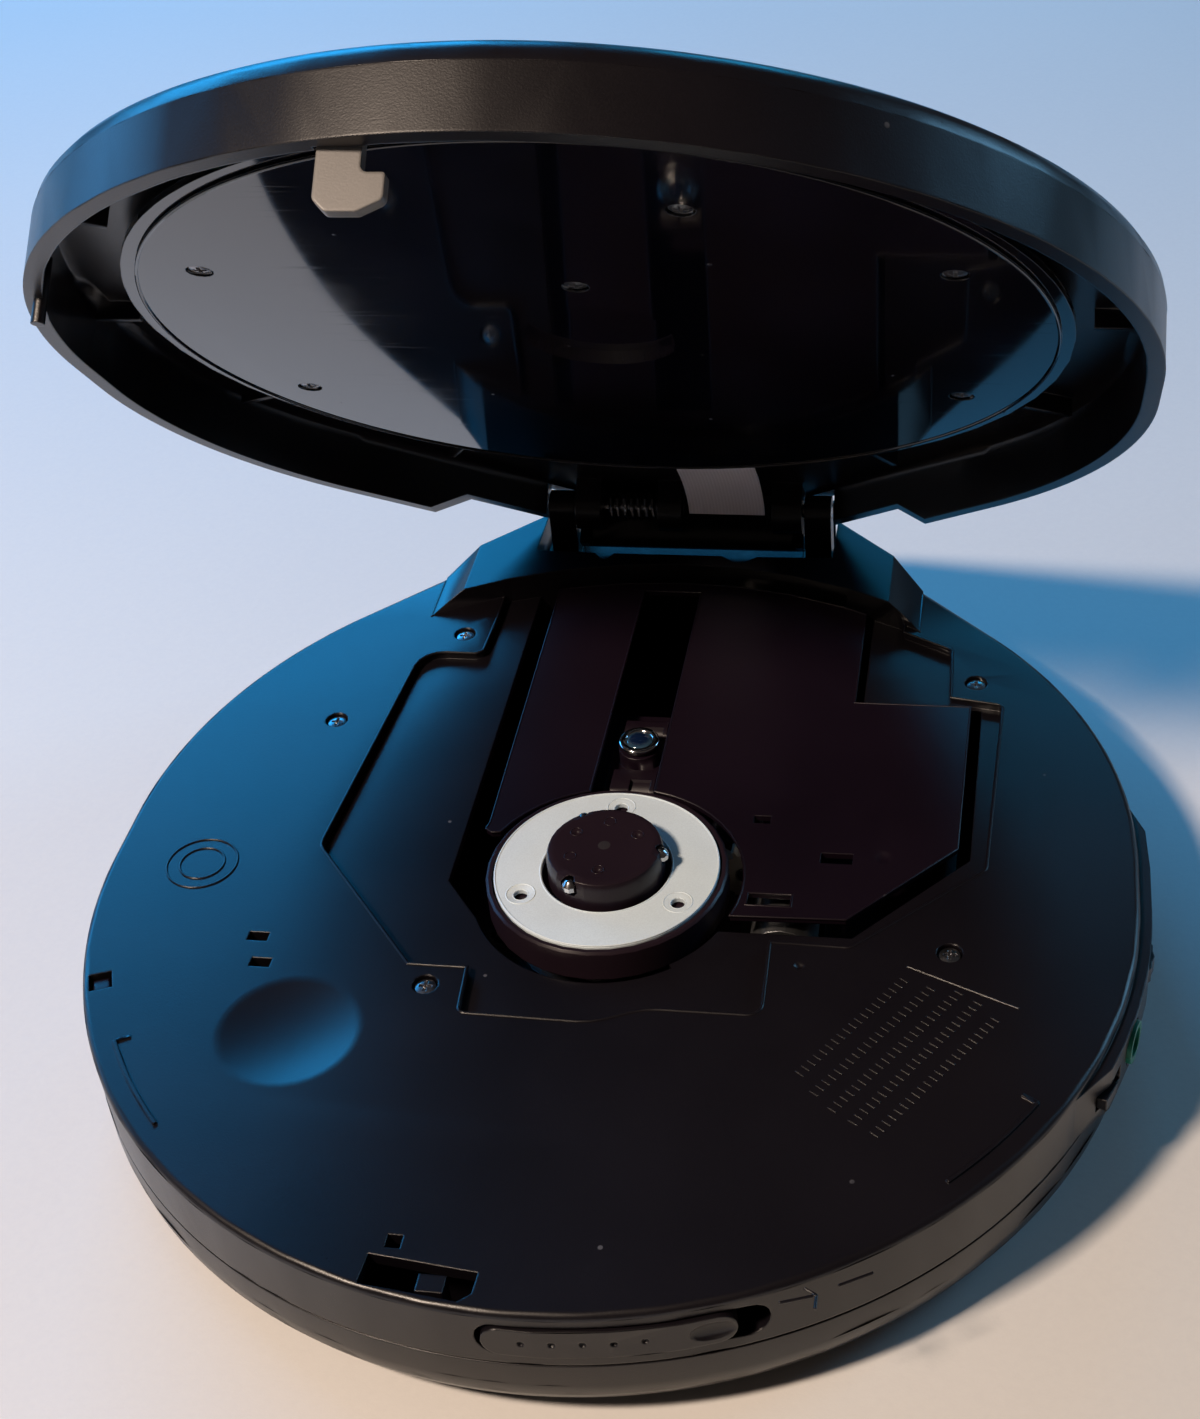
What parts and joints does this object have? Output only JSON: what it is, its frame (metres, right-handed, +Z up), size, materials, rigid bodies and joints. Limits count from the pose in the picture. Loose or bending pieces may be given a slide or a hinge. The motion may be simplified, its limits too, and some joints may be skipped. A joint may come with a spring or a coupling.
{
  "type": "portable CD player",
  "caption": "Round portable CD player with a hinged lid held open over a disc well, a sprung-ball hub and a sliding pickup.",
  "frame": {"origin": "on the disc axis, in the flat panel moulded into the underside", "axes": "+Z up along the disc axis, +Y back to the lid's hinge, +X right as seen from the front; the lid is open in the rest pose"},
  "size_m": [0.1329, 0.1486, 0.1325],
  "materials": {
    "shell": "satin near-black moulded plastic",
    "gloss": "polished black plastic",
    "mechanism": "satin purplish black plastic",
    "platter": "fine satin aluminium",
    "steel": "bright ground steel",
    "sheet": "plated sheet steel",
    "dark_steel": "dark laminated steel",
    "brass": "turned brass",
    "rubber": "matt rubber",
    "grey": "pale grey moulded plastic",
    "ribbon": "flexible film",
    "white": "natural white acetal",
    "green": "green moulded plastic",
    "board": "coated circuit board",
    "lens": "coated clear lens",
    "window": "smoked clear window"
  },
  "bodies": {
    "base": {"upper_cabinet": "shell", "lower_shell": "shell", "foot_front_left": "rubber", "foot_front_right": "rubber", "foot_rear_left": "rubber", "foot_rear_right": "rubber", "contact_link": "steel", "contact_negative": "steel", "contact_positive": "steel", "main_board": "board", "mechanism_chassis": "mechanism", "mechanism_cover": "mechanism", "damper_front": "rubber", "damper_right": "rubber", "damper_rear": "rubber", "spindle_motor": "dark_steel", "guide_rod_left": "steel", "guide_rod_right": "steel", "sled_motor": "sheet", "latch_spring": "steel", "headphone_jack": "mechanism", "jack_ring": "green", "power_jack": "mechanism", "hinge_pin_left": "steel", "hinge_pin_right": "steel", "hinge_spring": "steel"},
    "turntable": {"turntable": "platter", "hub": "mechanism", "spindle_shaft": "steel", "motor_rotor": "dark_steel", "clamp_ball_right": "steel", "clamp_ball_rear": "steel", "clamp_ball_front": "steel"},
    "sled": {"pickup_sled": "mechanism", "lens_actuator": "mechanism", "objective_lens": "lens"},
    "feed_screw": {"feed_screw": "steel", "feed_gear": "white"},
    "feed_pinion": {"motor_pinion": "brass"},
    "opener": {"opener_slider": "shell", "latch_bar": "shell"},
    "lid_switch": {"lid_switch_plunger": "mechanism"},
    "hold_switch": {"hold_switch": "shell"},
    "volume_wheel": {"volume_wheel": "shell"},
    "battery_door": {"battery_door": "shell"},
    "lid": {"lid_shell": "shell", "lid_plate": "gloss", "lid_hook": "grey", "flex_ribbon": "ribbon", "lid_board": "board", "display_module": "grey", "display_window": "window"},
    "play_button": {"play_button": "shell"},
    "stop_button": {"stop_button": "shell"},
    "back_button": {"back_button": "shell"},
    "next_button": {"next_button": "shell"},
    "mode_button": {"mode_button": "shell"}
  },
  "joints": [
    {"name": "lid_hinge", "type": "hinge", "parent": "base", "child": "lid", "pos_m": [0, 0.0771, 0.02296], "axis": [1, 0, 0], "range_deg": [0, 48.41], "stiffness_Nm_per_rad": 0.03, "springref_deg": -68.75},
    {"name": "turntable_spin", "type": "hinge", "parent": "base", "child": "turntable", "pos_m": [0, 0, 0], "axis": [0, 0, 1], "continuous": true},
    {"name": "sled_slide", "type": "slide", "parent": "base", "child": "sled", "axis": [0, 1, 0], "range_m": [-0.0035, 0.03]},
    {"name": "feed_screw_spin", "type": "hinge", "parent": "base", "child": "feed_screw", "pos_m": [0.0162, 0, 0.0108], "axis": [0, 1, 0], "range_deg": [-318, 2704]},
    {"name": "pinion_spin", "type": "hinge", "parent": "base", "child": "feed_pinion", "pos_m": [0.0222, 0, 0.0108], "axis": [0, 1, 0], "range_deg": [-5410, 634]},
    {"name": "opener_slide", "type": "hinge", "parent": "base", "child": "opener", "pos_m": [0, 0, 0.0133], "axis": [0, 0, 1], "range_deg": [0, 2.5], "stiffness_Nm_per_rad": 0.5, "springref_deg": -2.29},
    {"name": "lid_switch_slide", "type": "slide", "parent": "base", "child": "lid_switch", "axis": [0, 0, -1], "range_m": [0, 0.0023]},
    {"name": "hold_slide", "type": "slide", "parent": "base", "child": "hold_switch", "axis": [0.3907, 0.9205, 0], "range_m": [0, 0.002]},
    {"name": "volume_spin", "type": "hinge", "parent": "base", "child": "volume_wheel", "pos_m": [0.06115, -0.00428, 0.0125], "axis": [0, 0, 1], "range_deg": [-135, 135]},
    {"name": "battery_door_hinge", "type": "hinge", "parent": "base", "child": "battery_door", "pos_m": [0, -0.0261, 0.00054], "axis": [1, 0, 0], "range_deg": [0, 100]},
    {"name": "play_press", "type": "slide", "parent": "lid", "child": "play_button", "axis": [0, -0.7479, -0.6638], "range_m": [0, 0.0005], "stiffness_N_per_m": 200},
    {"name": "stop_press", "type": "slide", "parent": "lid", "child": "stop_button", "axis": [0, -0.7479, -0.6638], "range_m": [0, 0.0005], "stiffness_N_per_m": 200},
    {"name": "back_press", "type": "slide", "parent": "lid", "child": "back_button", "axis": [0, -0.7479, -0.6638], "range_m": [0, 0.0005], "stiffness_N_per_m": 200},
    {"name": "next_press", "type": "slide", "parent": "lid", "child": "next_button", "axis": [0, -0.7479, -0.6638], "range_m": [0, 0.0005], "stiffness_N_per_m": 200},
    {"name": "mode_press", "type": "slide", "parent": "lid", "child": "mode_button", "axis": [0, -0.7479, -0.6638], "range_m": [0, 0.0005], "stiffness_N_per_m": 200}
  ],
  "couplings": [
    {"joint": "feed_screw_spin", "follows": "sled_slide", "rad_per_m": 1570.8},
    {"joint": "pinion_spin", "follows": "sled_slide", "rad_per_m": -3141.6},
    {"joint": "lid_switch_slide", "follows": "lid_hinge", "m_per_rad": 0.002722}
  ]
}
